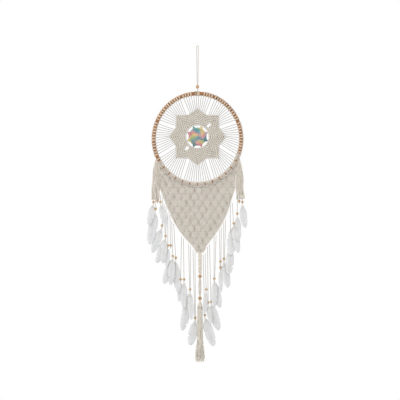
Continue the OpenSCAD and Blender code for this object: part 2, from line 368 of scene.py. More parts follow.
strand_pieces = {}
for body, row in strands.items():
    cords = []
    for side, label in ((-1, "a"), (1, "b")):
        x, z = strand_goal(row, side)
        fall = side * strand_spread * edge_slope * (1 if row[0][0] > 0 else -1)
        top = (row[0][0] + side * strand_spread, 0, row[0][1] + fall)
        foot = (x, 0, min(z - tail_below_bead, top[2] - shortest_cord))
        route = np.linspace(top, foot, max(6, round((row[0][1] - z) / 0.02)))
        path = spaced(route, cord_step)
        shape = Shape()
        shape.add(*swept(path, strand_cord_d / 2))
        replaced = (body.replace("strand", "cords"),) if side < 0 else ()
        piece = shape.piece(f"{body}_cord_{label}", strand_cotton, body, "cotton_cord", replaced)
        cords.append((piece, top, path))
    strand_pieces[body] = cords


# ---- Beads and knots of the strands -------------------------------------------------------------------
# Small turned beads of pale wood, bored through. Each rests on an overhand knot in the end of its cord,
# and the quills of the feathers are pushed up into the bore beside the knot.
def turned_bead(shape, centre, radius, bore, seed, squat=0.94):
    """A bead turned round the Z axis: its profile is a circle of the radius from the mouth of the bore to
    the other, pressed slightly flat, and back down the bore, whose mouths are a little worn open."""
    outer = np.linspace(-1, 1, 15) * math.acos(bore / radius) * 0.96
    across = np.concatenate([radius * np.cos(outer), np.full(4, bore)])
    height = np.concatenate([radius * squat * np.sin(outer), radius * squat * np.linspace(0.86, -0.86, 4)])
    turn = np.linspace(0, 2 * math.pi, 20, endpoint=False)[None, :]
    uneven = 1 + 0.012 * np.sin(2 * turn + seed) + 0.008 * np.sin(5 * turn + 2 * seed)
    reach = across[:, None] * np.where(across[:, None] > bore * 1.05, uneven, 1)
    tilt = 0.05 * math.sin(seed * 7)
    x = reach * np.cos(turn)
    z = height[:, None] + 0 * turn + tilt * x
    grid = np.stack([x + centre[0], reach * np.sin(turn) + centre[1], z + centre[2]], -1)
    along = np.linspace(0, 2 * math.pi * radius, len(across) + 1)
    shape.add(grid[::-1], along, loop=True)


def wood(name, tint, streak, ring_width):
    """Turned wood: streaks that run down the bead over wider growth bands, and a dull waxed surface."""
    finish = Finish(name, 0.5)
    finish.shader.inputs["Coat Weight"].default_value = 0.15
    streaks = finish.noise(1.0, 3.0, (900, 900, 120))
    bands = finish.noise(1 / ring_width, 1.0, (1, 1, 0.4))
    share = (streaks * 0.9 + bands * 0.7 - 0.35).clamp()
    return finish.done(finish.mix(share, streak, tint), streaks, 0.0002, 0.4)


def overhand_knot(shape, centre, size, cord_r, turn=0.0):
    """A pulled-up overhand knot: the trefoil (sin t + 2 sin 2t, cos t - 2 cos 2t, -sin 3t), drawn small."""
    t = np.linspace(0, 2 * math.pi, 40, endpoint=False)
    a = size / 3 * (np.sin(t) + 2 * np.sin(2 * t))
    b = size / 3 * (np.cos(t) - 2 * np.cos(2 * t))
    c = size / 3 * 1.2 * -np.sin(3 * t)
    x = a * math.cos(turn) - c * math.sin(turn)
    y = a * math.sin(turn) + c * math.cos(turn)
    path = np.stack([x + centre[0], y * 0.8 + centre[1], b + centre[2]], -1)
    grid, along, crest = swept(path, cord_r, plies=0, loop=True)
    shape.add(grid, along, crest, loop=True)


bead_r = 0.0045
bead_bore = 0.0019
knot_size = 0.0017
knot_drop = 0.0062
pale_wood = wood("pale_bead_wood", paint(212, 182, 140), paint(154, 120, 80), 0.004)
for number, (body, row) in enumerate(strands.items()):
    parted = row[1][0] != row[-1][0]
    groups = [(row[1:2], "a"), (row[2:3], "b")] if parted else [(row[1:], "b")]
    beads_node = body.replace("strand", "beads")
    for held, label in groups:
        beads = Shape()
        knots = Shape()
        for n, (x, z) in enumerate(held):
            turned_bead(beads, (x, 0, z), bead_r, bead_bore, number * 3.1 + n + len(label))
        overhand_knot(knots, (held[-1][0], 0, held[-1][1] - knot_drop), knot_size, strand_cord_d / 2, number)
        replaced = (beads_node,) if (held, label) == groups[0] else ()
        bead = beads.piece(f"{body}_bead_{label}", pale_wood, body, "light_wood", replaced)
        knot = knots.piece(f"{body}_knot_{label}", strand_cotton, body, "cotton_cord")
        piece, top, path = strand_pieces[body]["ab".index(label)]
    if not parted:
        piece, top, path = strand_pieces[body][0]


# ---- Hanging loop, top bead and neck --------------------------------------------------------------------
# One thin cotton cord doubled over the nail, closed by an overhand knot under a wooden bead that slides
# on both of its legs. A short neck of the same cord joins the knot to the wrapping at the top of the hoop.
_, loop_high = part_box("hanging_loop")
loop_cord_d = 0.002
loop_bend_r = 0.0028
leg_foot_x = 0.00115
knot_top_z = -0.138
knot_middle_z = -0.1405
bend = np.linspace(math.pi, 0, 9)
bend_z = loop_high.z - loop_cord_d / 2 - loop_bend_r
over = np.stack([loop_bend_r * np.cos(bend), 0 * bend, bend_z + loop_bend_r * np.sin(bend)], -1)
legs = [np.linspace((side * leg_foot_x, 0, knot_top_z - 0.001), (side * loop_bend_r, 0, bend_z), 8)
        for side in (-1, 1)]
loop_path = spaced(np.concatenate([legs[0][:-1], over, legs[1][-2::-1]]), cord_step)
loop_cotton = cotton("undyed_loop_cotton", paint(222, 208, 190), paint(150, 134, 114))
shape = Shape()
shape.add(*swept(loop_path, loop_cord_d / 2))
hanging_loop = shape.piece("loop_cord", loop_cotton, "loop", "cotton_cord", ("hanging_loop",))
shape = Shape()
overhand_knot(shape, (0, 0, knot_middle_z), 0.0023, 0.00115, 0.6)
loop_knot = shape.piece("loop_knot", loop_cotton, "loop", "cotton_cord")

top_low, top_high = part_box("top_bead")
tan_wood = wood("tan_bead_wood", paint(212, 178, 132), paint(160, 118, 74), 0.005)
shape = Shape()
top_bore = 0.0028
turned_bead(shape, (top_low + top_high) / 2, (top_high.x - top_low.x) / 2, top_bore, 2.0, 0.98)
shape.piece("sliding_top_bead", tan_wood, "top_bead", "tan_wood", ("top_bead",))

neck_low, neck_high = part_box("neck_cord")
neck_cord_r = 0.0011
neck_middle = (0.0002, 0, (neck_low.z + neck_high.z) / 2)
neck_path = spaced([(0, 0, neck_high.z), neck_middle, (0, 0, neck_low.z)], 0.0003)
shape = Shape()
shape.add(*swept(neck_path, neck_cord_r, lay=0.004))
shape.piece("neck_of_loop", loop_cotton, "neck", "cotton_cord", ("neck_cord",))


# ---- Hoop -------------------------------------------------------------------------------------------------
# A length of peeled and stained rattan bent into an oval, with its ends scarfed together. The cane keeps
# its low joint rings, long fibres and a few dark burnt spots.
hoop_low, hoop_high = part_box("hoop_ring")
rattan_r = (hoop_high.y - hoop_low.y) / 2
half_w = (hoop_high.x - hoop_low.x) / 2 - rattan_r
half_h = (hoop_high.z - hoop_low.z) / 2 - rattan_r
hoop_z = (hoop_high.z + hoop_low.z) / 2
arc_shift = (half_h - half_w) / (2 - math.sqrt(2))
side_arc_r = half_w + arc_shift
end_arc_r = half_h - arc_shift


def hoop_point(angle):
    """Point of the rattan's middle line whose outward normal is at the angle: an oval of four arcs that
    meet at 45 degrees."""
    c, s = np.cos(angle), np.sin(angle)
    level = np.abs(c) > np.abs(s)
    x = np.where(level, side_arc_r * c - np.sign(c) * arc_shift, end_arc_r * c)
    z = np.where(level, side_arc_r * s, end_arc_r * s + np.sign(s) * arc_shift)
    return np.stack([x, 0 * x, z + hoop_z], -1)


def outward(angle):
    """Unit vector in the plane of the hoop at the angle."""
    return np.stack([np.cos(angle), 0 * angle, np.sin(angle)], -1)


cane_joints = np.radians([24, 71, 118, 171, 222, 268, 317])
burnt_spots = np.radians([42, 63, 131, 160, 9])
hoop_turn = np.linspace(0, 2 * math.pi, 540, endpoint=False)


def nearest(places):
    """Angle from each point of the hoop to the nearest of the places, the short way round."""
    return np.abs((hoop_turn[:, None] - places + math.pi) % (2 * math.pi) - math.pi).min(1)


off_joint = nearest(cane_joints)
swell = 0.985 + 0.004 * np.sin(9 * hoop_turn) + 0.015 * np.exp(-((off_joint / 0.012) ** 2))
shape = Shape()
hoop_grid, hoop_along, _ = swept(hoop_point(hoop_turn), rattan_r * swell, sides=20, plies=0, loop=True)
off_spot = nearest(burnt_spots)
darkness = np.maximum(np.exp(-((off_joint / 0.008) ** 2)) * 0.6, np.exp(-((off_spot / 0.02) ** 4)))
shape.add(hoop_grid, hoop_along, darkness[:, None], loop=True)
cane = Finish("stained_rattan", 0.55)
cane_fibres = cane.noise(1.0, 4.0, (14, 40, 1), "UV")
cane_patches = cane.noise(38.0, 2.0)
cane_share = (cane_fibres * 0.9 + cane_patches * 0.8 - 0.35).clamp()
cane_colour = cane.mix(cane_share, paint(112, 72, 40), paint(178, 130, 86))
cane_colour = cane.mix(cane.mark("burn") * cane_patches * 1.6, cane_colour, paint(62, 40, 26))
rattan = cane.done(cane_colour, cane_fibres, 0.0003, 0.5)
shape.piece("rattan_ring", rattan, "hoop", "rattan", ("hoop_ring",), mark_name="burn")


# ---- Lashings round the hoop ----------------------------------------------------------------------------
# Every web string above the fringe is made fast with nearly four turns of the same string round the
# rattan. A longer wrapping of nine turns at the top carries the neck.
eighth = math.pi / 4
strings_per_petal = 12
half_fan = (strings_per_petal - 1) / 2
string_pitch = math.radians(3.6)
lash_turns = 3.7
lash_cord_r = 0.00095
lash_rim = 0.0004
wrap_turns = 9
wrap_width = 0.0155
wrap_cord_r = 0.0009
wrap_half_degrees = 6
fringe_start_degrees = 207


def lashing(shape, angle, width, turns, cord_r, seed):
    """Turns of cord round the rattan: a coil whose axis is the hoop's middle line at the angle, with the
    turns side by side over the width and the two ends tucked in."""
    t = np.linspace(0, 1, max(24, int(turns * 17)))
    place = (t - 0.5) * width + 0.0002 * np.sin(9 * t + seed)
    round_cane = 2 * math.pi * turns * t + seed
    arc = angle + place / (half_w + 0.003)
    tuck = np.clip(np.minimum(t, 1 - t) * turns * 5, 0, 1)
    reach = rattan_r + lash_rim + cord_r * (2 * tuck - 1)
    path = hoop_point(arc) + (reach * np.cos(round_cane))[:, None] * outward(arc)
    path[:, 1] += reach * np.sin(round_cane)
    shape.add(*swept(path, cord_r, toward=path - hoop_point(arc), plies=2, lay=0.006))


hitch_cotton = cotton("waxed_hitch_string", paint(252, 232, 210), paint(226, 194, 164), 0.4)
string_angles = [eighth * k + string_pitch * (j - half_fan)
                 for k in range(8) for j in range(strings_per_petal)]
draw = np.random.default_rng(7)
shape = Shape()
for number, angle in enumerate(string_angles):
    degrees = (math.degrees(angle) + 17) % 360 - 17
    if degrees < fringe_start_degrees and abs(degrees - 90) > wrap_half_degrees:
        slip = draw.uniform(-0.004, 0.004)
        width = draw.uniform(0.0042, 0.005)
        lashing(shape, angle + slip, width, lash_turns, lash_cord_r, number * 2.4)
lashing(shape, math.pi / 2, wrap_width, wrap_turns, wrap_cord_r, 0.5)
shape.piece("string_lashings", hitch_cotton, "hoop", "hitch_cord", ("string_hitches",))


# ---- Fringe hitches -----------------------------------------------------------------------------------
# The cords of the panel and of the two side bunches are folded in half over the lower part of the hoop
# with lark's head hitches: two turns over the cane and one bar across the front, six pairs to a group.
fringe_from = math.radians(207.5)
fringe_pitch = math.radians(10.4)
fringe_groups = 13
larks_per_group = 6
fringe_cord_r = 0.00105
lark_pitch = fringe_cord_r * 3.2805 / half_w
lark_start = math.radians(-48)
lark_turn = math.radians(335)
bar_angle = math.radians(-60)
fringe_cotton = cotton("undyed_fringe_cotton", paint(236, 229, 218), paint(176, 165, 149))


def larks_head(shape, angle, seed):
    """A lark's head round the rattan. One loop of cord goes down behind the cane, up in front and over,
    twice, a cord's width apart; a short bar joins the two turns across the front."""
    t = np.linspace(0, 1, 34)
    for side in (-1, 1):
        arc = angle + side * (fringe_cord_r * 1.12 + 0.0004 * np.cos(2 * math.pi * t)) / half_w
        turn = lark_start - t * lark_turn
        reach = rattan_r + 0.0003 + fringe_cord_r
        path = hoop_point(arc) + (reach * np.cos(turn))[:, None] * outward(arc)
        path[:, 1] += reach * np.sin(turn)
        shape.add(*swept(path, fringe_cord_r, toward=path - hoop_point(arc), plies=2, lay=0.007))
    across = np.linspace(-1, 1, 12)
    arc = angle + across * fringe_cord_r * 2.6 / half_w
    turn = bar_angle + 0.12 * math.sin(seed)
    bow = (rattan_r + fringe_cord_r * 2.9) * (1 - 0.09 * across**4)
    path = hoop_point(arc) + (bow * math.cos(turn))[:, None] * outward(arc)
    path[:, 1] += bow * math.sin(turn)
    shape.add(*swept(path, fringe_cord_r, plies=2, lay=0.007))


shape = Shape()
for number in range(fringe_groups * larks_per_group):
    group, n = divmod(number, larks_per_group)
    middle = fringe_from + fringe_pitch * (group + 0.5)
    larks_head(shape, middle + (n - (larks_per_group - 1) / 2) * lark_pitch, number * 1.7)
shape.piece("larks_head_hitches", fringe_cotton, "hoop", "fringe_cord", ("fringe_hitches",))


# ---- Web strings ----------------------------------------------------------------------------------------
# Thin waxed string under tension, twelve to each petal. They leave the hoop evenly spaced and crowd
# together at the edge of the petal towards its tip, so that a clear wedge opens at every valley.
string_r = 0.00095
petal_reach_square = 0.093
petal_reach_slant = 0.0985
valley_r = 0.0775
valley_half_angle = math.radians(21.5)
tip_half_angle = math.radians(1)
string_crowding = 0.92
edge_bite = 0.0015
star_low, star_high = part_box("star_petals")
hub = np.array([0, 0, (star_low.z + star_high.z) / 2])


def petal_reach(k):
    """How far the tip of petal k stands from the hub."""
    return petal_reach_slant if k % 2 else petal_reach_square


waxed = Finish("waxed_web_string", 0.6, sheen=0.1)
waxed_fibre = waxed.noise(1.0, 2.0, (700, 30, 1), "UV")
# Painted shade: the crest mark darkens the string toward the dark grey in the grooves between its two plies
waxed_colour = waxed.mix((waxed.mark("crest") * 0.7 + waxed_fibre * 0.5 - 0.1).clamp(),
                         paint(116, 110, 100), paint(184, 179, 170))
string_wax = waxed.done(waxed_colour, waxed_fibre, 0.0001)
shape = Shape()
for k in range(8):
    for j in range(strings_per_petal):
        side = 1 if j > half_fan else -1
        share = (abs(j - half_fan) - 0.5) / half_fan * string_crowding
        tip = hub + (petal_reach(k) - edge_bite) * outward(np.array(eighth * k + side * tip_half_angle))
        valley = hub + (valley_r - edge_bite) * outward(np.array(eighth * k + side * valley_half_angle))
        inner = tip + (valley - tip) * share
        angle = np.array(eighth * k + string_pitch * (j - half_fan))
        outer = hoop_point(angle) - (rattan_r + 0.0006) * outward(angle)
        inner[1] = draw.uniform(-0.0006, 0.0006)
        give = draw.uniform(-0.0005, 0.0005)
        route = [inner, (inner + outer) / 2 + [give, 0, -abs(give)], outer]
        shape.add(*swept(spaced(route, 0.0016), string_r, plies=2, lay=0.009))
shape.piece("strung_web", string_wax, "hoop", "web_string", ("web_strings",))


# ---- Star -------------------------------------------------------------------------------------------------
# Eight petals of cotton cord worked in rows of half hitches. Each row is a rib of slanting knots; the
# inner rows follow the round hole and the outer ones turn at the petal's middle into its pointed edge.
star_hole_r = 0.037
star_rows = 8
hitch_len = 0.0042
# Hitch lengths between the painted shadow spots at the sides of each row
hole_shadows_every = 1.5
# The dark colour here is painted shade, for the creases and the shadowed holes between the hitched rows
star_cotton = cotton("half_hitched_star_cotton", paint(228, 222, 211), paint(92, 80, 64), 0.3)
# Slots left open across two rows, as the angle from the hub, the distance and half the greatest width
row_slots = [(math.radians(45), 0.0505, 0.0015), (math.radians(228), 0.052, 0.0019)]
slot_half_length = 0.0085
rib_step = 0.00085
rib_overlap = 1.12


def petal_row(turn, share):
    """Distance from the hub of a row of the star at each angle: a share of the way from the round hole to
    the outline, whose straight edges run from the tips of the petals to the valleys between them."""
    k = np.round(turn / eighth)
    angle = np.abs(turn - k * eighth)
    reach = np.where(k % 2 == 1, petal_reach_slant, petal_reach_square)
    edge_x = reach - valley_r * math.cos(eighth / 2)
    edge_z = valley_r * math.sin(eighth / 2)
    outline = reach * edge_z / (edge_z * np.cos(angle) + edge_x * np.sin(angle))
    return (1 - share) * star_hole_r + share * outline


def runs(kept, least):
    """Each stretch of kept points with more points than the least, as an array of their numbers."""
    parts = np.split(np.arange(len(kept)), np.flatnonzero(np.diff(kept.astype(int))) + 1)
    return [part for part in parts if kept[part[0]] and len(part) > least]


def hitched_rib(path, radius, hitch, slant, loop=False, seed=0.0):
    """A row of half hitches: a tube whose radius swells once in every hitch length, the swelling slanted
    round the tube, so that each knot is a leaning bump. The mark paints shade: it is lower between the knots
    and at the sides of the row, and drops to nothing at spaced spots along the sides, painted shadows of
    small holes between the rows."""
    grid, along, _ = swept(path, 1.0, 10, plies=0, loop=loop)
    turn = np.linspace(0, 2 * math.pi, 10, endpoint=False)[None, :]
    phase = along[: len(path), None] / hitch + slant * np.sin(turn) / math.pi + seed
    bump = np.abs(np.sin(math.pi * phase)) ** 0.7
    # Painted shadow: spaced dark spots along the sides of the row, standing for the shade in small holes
    # between rows
    hole_shadow = 0.5 + 0.5 * np.sin(2 * math.pi * (phase / hole_shadows_every + 0.1 * np.sin(phase * 0.31 + seed)))
    reach = np.broadcast_to(radius, len(path))[:, None] * (0.76 + 0.28 * bump)
    edge = np.abs(np.sin(turn))
    crest = (0.6 + 0.4 * bump) * (0.65 + 0.35 * edge) - 1.5 * (1 - edge**2) * hole_shadow**3
    return path[:, None] + (grid - path[:, None]) * reach[..., None], along, crest.clip(0, 1)


shape = Shape()
for row in range(star_rows):
    share = (row + 0.5) / star_rows
    turn = np.linspace(0, 2 * math.pi, 1600, endpoint=False)
    far = petal_row(turn, share)
    gap = (petal_row(turn, share + 0.5 / star_rows) - petal_row(turn, share - 0.5 / star_rows)) / 2
    lean = np.arctan2(np.abs(np.roll(far, -3) - np.roll(far, 3)), far * 6 * (turn[1] - turn[0]))
    path = hub + far[:, None] * outward(turn)
    long = lengths(path)
    at = np.linspace(0, long[-1], round(long[-1] / rib_step))
    path = np.stack([np.interp(at, long, path[:, axis]) for axis in range(3)], -1)
    thick = np.interp(at, long, gap * np.cos(lean)) * rib_overlap
    path[:, 1] = 0.0003 * np.sin(at * 60 + row)
    lean_way = 0.9 if row % 2 else -0.9
    kept = np.ones(len(path), bool)
    for slot_turn, slot_r, slot_w in row_slots:
        off = np.linalg.norm(path - hub, axis=1) - slot_r
        side = np.abs((path - hub) @ np.array([-math.sin(slot_turn), 0, math.cos(slot_turn)]))
        open_w = slot_w * np.sqrt(np.clip(1 - (off / slot_half_length) ** 2, 0, 1)) + thick * 0.6
        faces_slot = (path - hub) @ outward(np.array(slot_turn)) > 0
        kept &= (side > open_w) | (np.abs(off) > slot_half_length) | ~faces_slot
    if kept.all():
        shape.add(*hitched_rib(path, thick, hitch_len, lean_way, loop=True, seed=row * 1.3), loop=True)
    else:
        start = int(np.argmin(kept))
        path, thick, kept = (np.roll(part, -start, 0) for part in (path, thick, kept))
        for run in runs(kept, 8):
            shape.add(*hitched_rib(path[run], thick[run], hitch_len, lean_way, seed=row * 1.3))
shape.piece("knotted_star", star_cotton, "hoop", "star_cord", ("star_petals",))


# ---- Medallion -----------------------------------------------------------------------------------------
# A round worked in half hitches from one thread of variegated yarn, whose colours change every few
# stitches. Eight tapered points of the same yarn stand out round it and are sewn into the star's hole.
medallion_rows = 6
medallion_r = 0.0295
point_reach = 0.0362
point_root_r = 0.0078
point_tip_r = 0.0016
yarn_hitch_len = 0.0031
yarn_rib_step = 0.0007
yarn_rib_overlap = 1.22
yarn_colours = {
    "teal": (96, 162, 166), "deep": (66, 128, 136), "slate": (124, 146, 158), "pink": (222, 164, 156),
    "rose": (206, 140, 146), "mauve": (194, 168, 178), "sand": (226, 200, 138), "olive": (206, 194, 128),
    "green": (150, 180, 144), "blue": (104, 164, 182), "tan": (214, 178, 160)}
# The yarn's colours round each row from the middle outwards, and last on the points, as degrees and a name
yarn_rows = [
    [(0, "slate"), (120, "sand"), (240, "blue")],
    [(21, "mauve"), (80, "pink"), (140, "sand"), (200, "green"), (270, "blue"), (330, "slate")],
    [(0, "mauve"), (30, "tan"), (75, "blue"), (120, "pink"), (155, "sand"), (200, "green"), (250, "slate"),
     (290, "tan"), (325, "slate")],
    [(0, "pink"), (34, "sand"), (79, "blue"), (110, "slate"), (131, "pink"), (165, "olive"), (208, "green"),
     (230, "slate"), (262, "tan"), (305, "olive"), (321, "slate")],
    [(0, "rose"), (20, "pink"), (50, "sand"), (79, "teal"), (110, "blue"), (135, "pink"), (165, "rose"),
     (185, "olive"), (212, "teal"), (240, "slate"), (262, "pink"), (285, "pink"), (310, "olive"),
     (335, "teal")],
    [(0, "slate"), (40, "sand"), (81, "green"), (112, "teal"), (141, "mauve"), (165, "rose"), (188, "tan"),
     (205, "olive"), (247, "deep"), (280, "rose"), (307, "olive"), (337, "deep")],
    [(22.5, "mauve"), (67.5, "sand"), (112.5, "teal"), (157.5, "rose"), (202.5, "olive"), (247.5, "deep"),
     (292.5, "rose"), (337.5, "deep")]]


def yarn_tint(points, rows):
    """Colour of each point: the colours of its row, run one into the next by the angle round the hub."""
    turn = np.degrees(np.arctan2(points[:, 2] - hub[2], points[:, 0])) % 360
    tint = np.zeros((len(points), 3))
    for row, stops in enumerate(yarn_rows):
        chosen = rows == row
        palette = np.array([paint(*yarn_colours[name])[:3] for _, name in stops])
        for channel in range(3):
            at = [angle for angle, _ in stops]
            tint[chosen, channel] = np.interp(turn[chosen], at, palette[:, channel], period=360)
    return tint


shape = Shape()
owner = []
for row in range(medallion_rows):
    share = (row + 0.55) / medallion_rows
    turn = np.linspace(0, 2 * math.pi, 720, endpoint=False)
    path = hub + share * (medallion_r - 0.0006) * outward(turn)
    long = lengths(path)
    at = np.linspace(0, long[-1], max(24, round(long[-1] / yarn_rib_step)))
    path = np.stack([np.interp(at, long, path[:, axis]) for axis in range(3)], -1)
    path[:, 1] = 0.0002 * np.sin(at * 300 + row)
    before = shape.size
    rib_r = medallion_r / medallion_rows / 2 * yarn_rib_overlap
    lean_way = 0.9 if row % 2 else -0.9
    shape.add(*hitched_rib(path, rib_r, yarn_hitch_len, lean_way, loop=True, seed=row), loop=True)
    owner.append(np.full(shape.size - before, row))
for point in range(8):
    turn = np.full(30, math.radians(22.5 + 45 * point))
    far = np.linspace(medallion_r - 0.004, point_reach, 30)
    path = hub + far[:, None] * outward(turn)
    before = shape.size
    taper = np.linspace(point_root_r, point_tip_r, 30)
    grid, along, crest = hitched_rib(path, taper, yarn_hitch_len, 0.9, seed=point)
    grid[..., 1] *= 0.5
    shape.add(grid, along, crest)
    owner.append(np.full(shape.size - before, medallion_rows))
yarn = Finish("variegated_yarn", 0.85, sheen=0.25)
yarn_fibre = yarn.noise(1.0, 2.0, (900, 30, 1), "UV")
yarn_base = yarn.add("ShaderNodeAttribute", {"attribute_name": "yarn_tint"}).outputs["Color"]
# Painted shade: the crest mark darkens the yarn toward a dark brown between the knots and in the spots at
# the rows' sides
yarn_light = (yarn.mark("crest") * 0.6 + yarn_fibre * 0.4 + 0.25).clamp()
yarn_finish = yarn.done(yarn.mix(yarn_light, paint(96, 84, 76), yarn_base), yarn_fibre, 0.0002)
medallion = shape.piece("yarn_medallion", yarn_finish, "hoop", "variegated_yarn", ("medallion",))
tints = yarn_tint(np.concatenate(shape.points), np.concatenate(owner))
colour = medallion.data.attributes.new("yarn_tint", "FLOAT_COLOR", "POINT")
colour.data.foreach_set("color", np.insert(tints, 3, 1.0, axis=1).astype(np.float32).ravel())


# ---- Knotted panel ----------------------------------------------------------------------------------------
# One flat macrame cloth of cotton cord. Every knot is a pair of square knots worked on four lines of two
# cords; below it the lines part to the two neighbouring knots. Filler cords hang straight down behind them.
knot_pitch = 0.0265
row_drop = 0.0206
knot_height = 0.0168
knot_half_w = 0.0094
first_knot_x = 0.00425
first_row_z = -0.3906
panel_rows = 16
panel_cord_r = 0.00115
panel_cord_step = 0.00195
twin_shift = panel_cord_r * 0.95
core_x = 0.0023
knot_depth = 0.0017
panel_top_x = 0.123
panel_top_z = -0.386
shoulder_x = 0.1255
shoulder_z = -0.395
filler_start = 0.006
fold_z = -0.466
# The panel's slanted edges from left to right, as x and z
panel_edge = [(-0.123, -0.466), (-0.105, -0.513), (-0.08, -0.571), (-0.048, -0.621), (-0.013, -0.66),
              (-0.004, -0.676), (0.019, -0.676), (0.032, -0.651), (0.059, -0.616), (0.089, -0.566),
              (0.109, -0.51), (0.123, -0.466)]
edge_line = np.array(panel_edge)


def in_panel(path, under=0.0072):
    """Whether each point lies on the panel: further than under from the hoop's middle line, between the
    shoulders and above the slanted edges."""
    x, z = path[:, 0], path[:, 2]
    turn = np.arctan2(z - hoop_z, x)
    hoop_line = np.linalg.norm(hoop_point(turn)[:, ::2] - (0, hoop_z), axis=1)
    below_hoop = np.hypot(x, z - hoop_z) > hoop_line + under
    floor_z = np.interp(x, edge_line[:, 0], edge_line[:, 1])
    side = np.interp(z, (fold_z, shoulder_z), (panel_top_x, shoulder_x))
    return below_hoop & (z < panel_top_z) & ((z > floor_z) | (z > fold_z)) & (np.abs(x) < side)


def knot_turns(middle, role, twin):
    """One line's way through a knot at the middle point. Line 0 crosses in front, x = -w cos 4 pi t, line 3
    crosses behind, x = w cos 4 pi t, and lines 1 and 2 run straight down inside. Twin is -1 or 1."""
    t = np.linspace(0, 1, 17 if role in (0, 3) else 4)
    down = knot_height * (0.5 - t)
    if role in (0, 3):
        way = -1 if role == 0 else 1
        across = way * knot_half_w * np.cos(4 * math.pi * t) * (0.92 + 0.3 * (2 * t - 1) ** 2)
        deep = way * knot_depth * np.abs(np.sin(4 * math.pi * t)) - 0.0006
        return np.stack([across + middle[0], deep, down + middle[1] + twin * twin_shift], -1)
    across = (-1 if role == 1 else 1) * core_x + twin * twin_shift
    return np.stack([across + middle[0] + 0 * t, 0 * t, down + middle[1]], -1)


shape = Shape()
for column in range(-6, 7):
    for role, other, way in ((0, 2, -1), (1, 3, -1), (2, 0, 1), (3, 1, 1)):
        for twin in (-1, 1):
            parts = []
            for row in range(panel_rows):
                here, shift = (role, 0) if row % 2 == 0 else (other, way * knot_pitch / 2)
                middle = (first_knot_x + column * knot_pitch + shift, first_row_z - row * row_drop)
                slack = 0.0005 * math.sin(column * 5.1 + row * 3.3 + role)
                parts.append(knot_turns((middle[0] + slack, middle[1] + slack), here, twin))
            path = spaced(np.concatenate(parts), panel_cord_step)
            for run in runs(in_panel(path), 5):
                shape.add(*swept(path[run], panel_cord_r, plies=2, lay=0.012))
panel_cotton = cotton("undyed_panel_cotton", paint(254, 249, 240), paint(176, 166, 150), 0.4)
knotted_panel = shape.piece("square_knot_panel", panel_cotton, None, "fringe_cord",
                            ("fringe_yoke", "knotted_panel"))

filler_pitch = 0.0029
filler_r = 0.0015
filler_behind = 0.0024
shape = Shape()
for n in range(round(2 * panel_top_x / filler_pitch)):
    x = (n + 0.5) * filler_pitch - panel_top_x
    z = np.arange(panel_top_z, -0.69, -0.004)
    y = filler_behind + 0.0003 * np.sin(z * 60 + n * 2.1)
    path = np.stack([x + 0.0004 * np.sin(z * 90 + n), y, z], -1)
    kept = np.flatnonzero(in_panel(path, filler_start))
    if len(kept) > 3:
        shape.add(*swept(path[kept], filler_r, plies=2, lay=0.03, groove=0.06))
# Painted shade: the filler cords are the same undyed cotton, tinted darker than the panel's cotton for their
# place in the shade behind the knots
filler_cotton = cotton("straight_filler_cotton", paint(226, 216, 205), paint(178, 167, 154), 0.4)
fillers = shape.piece("panel_filler_cords", filler_cotton, None, "fringe_cord")

edge_rib_r = 0.0014
edge_rib_inside = 0.0022
edge_path = spaced([(x, 0, z + edge_rib_inside) for x, z in panel_edge], 0.0011)
shape = Shape()
shape.add(*hitched_rib(edge_path, edge_rib_r, 0.0036, 0.9))
panel_rib = shape.piece("panel_edge_rib", panel_cotton, None, "fringe_cord")
for layer in (knotted_panel, fillers, panel_rib):
    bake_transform(layer)


# ---- Side bunches -----------------------------------------------------------------------------------------
# At each end of the fringe the cords are left unknotted. They hang from their hitches in a flat bunch two to
# three cords deep, cut square at the foot; three longer cords of each bunch carry a bead each, and two of
# the beads hold a feather.
bunch_cord_r = 0.0011
bunch_pitch = 0.0024
bunch_layers = 3
bunch_layer_gap = 0.0023
drop_inside = 0.0212
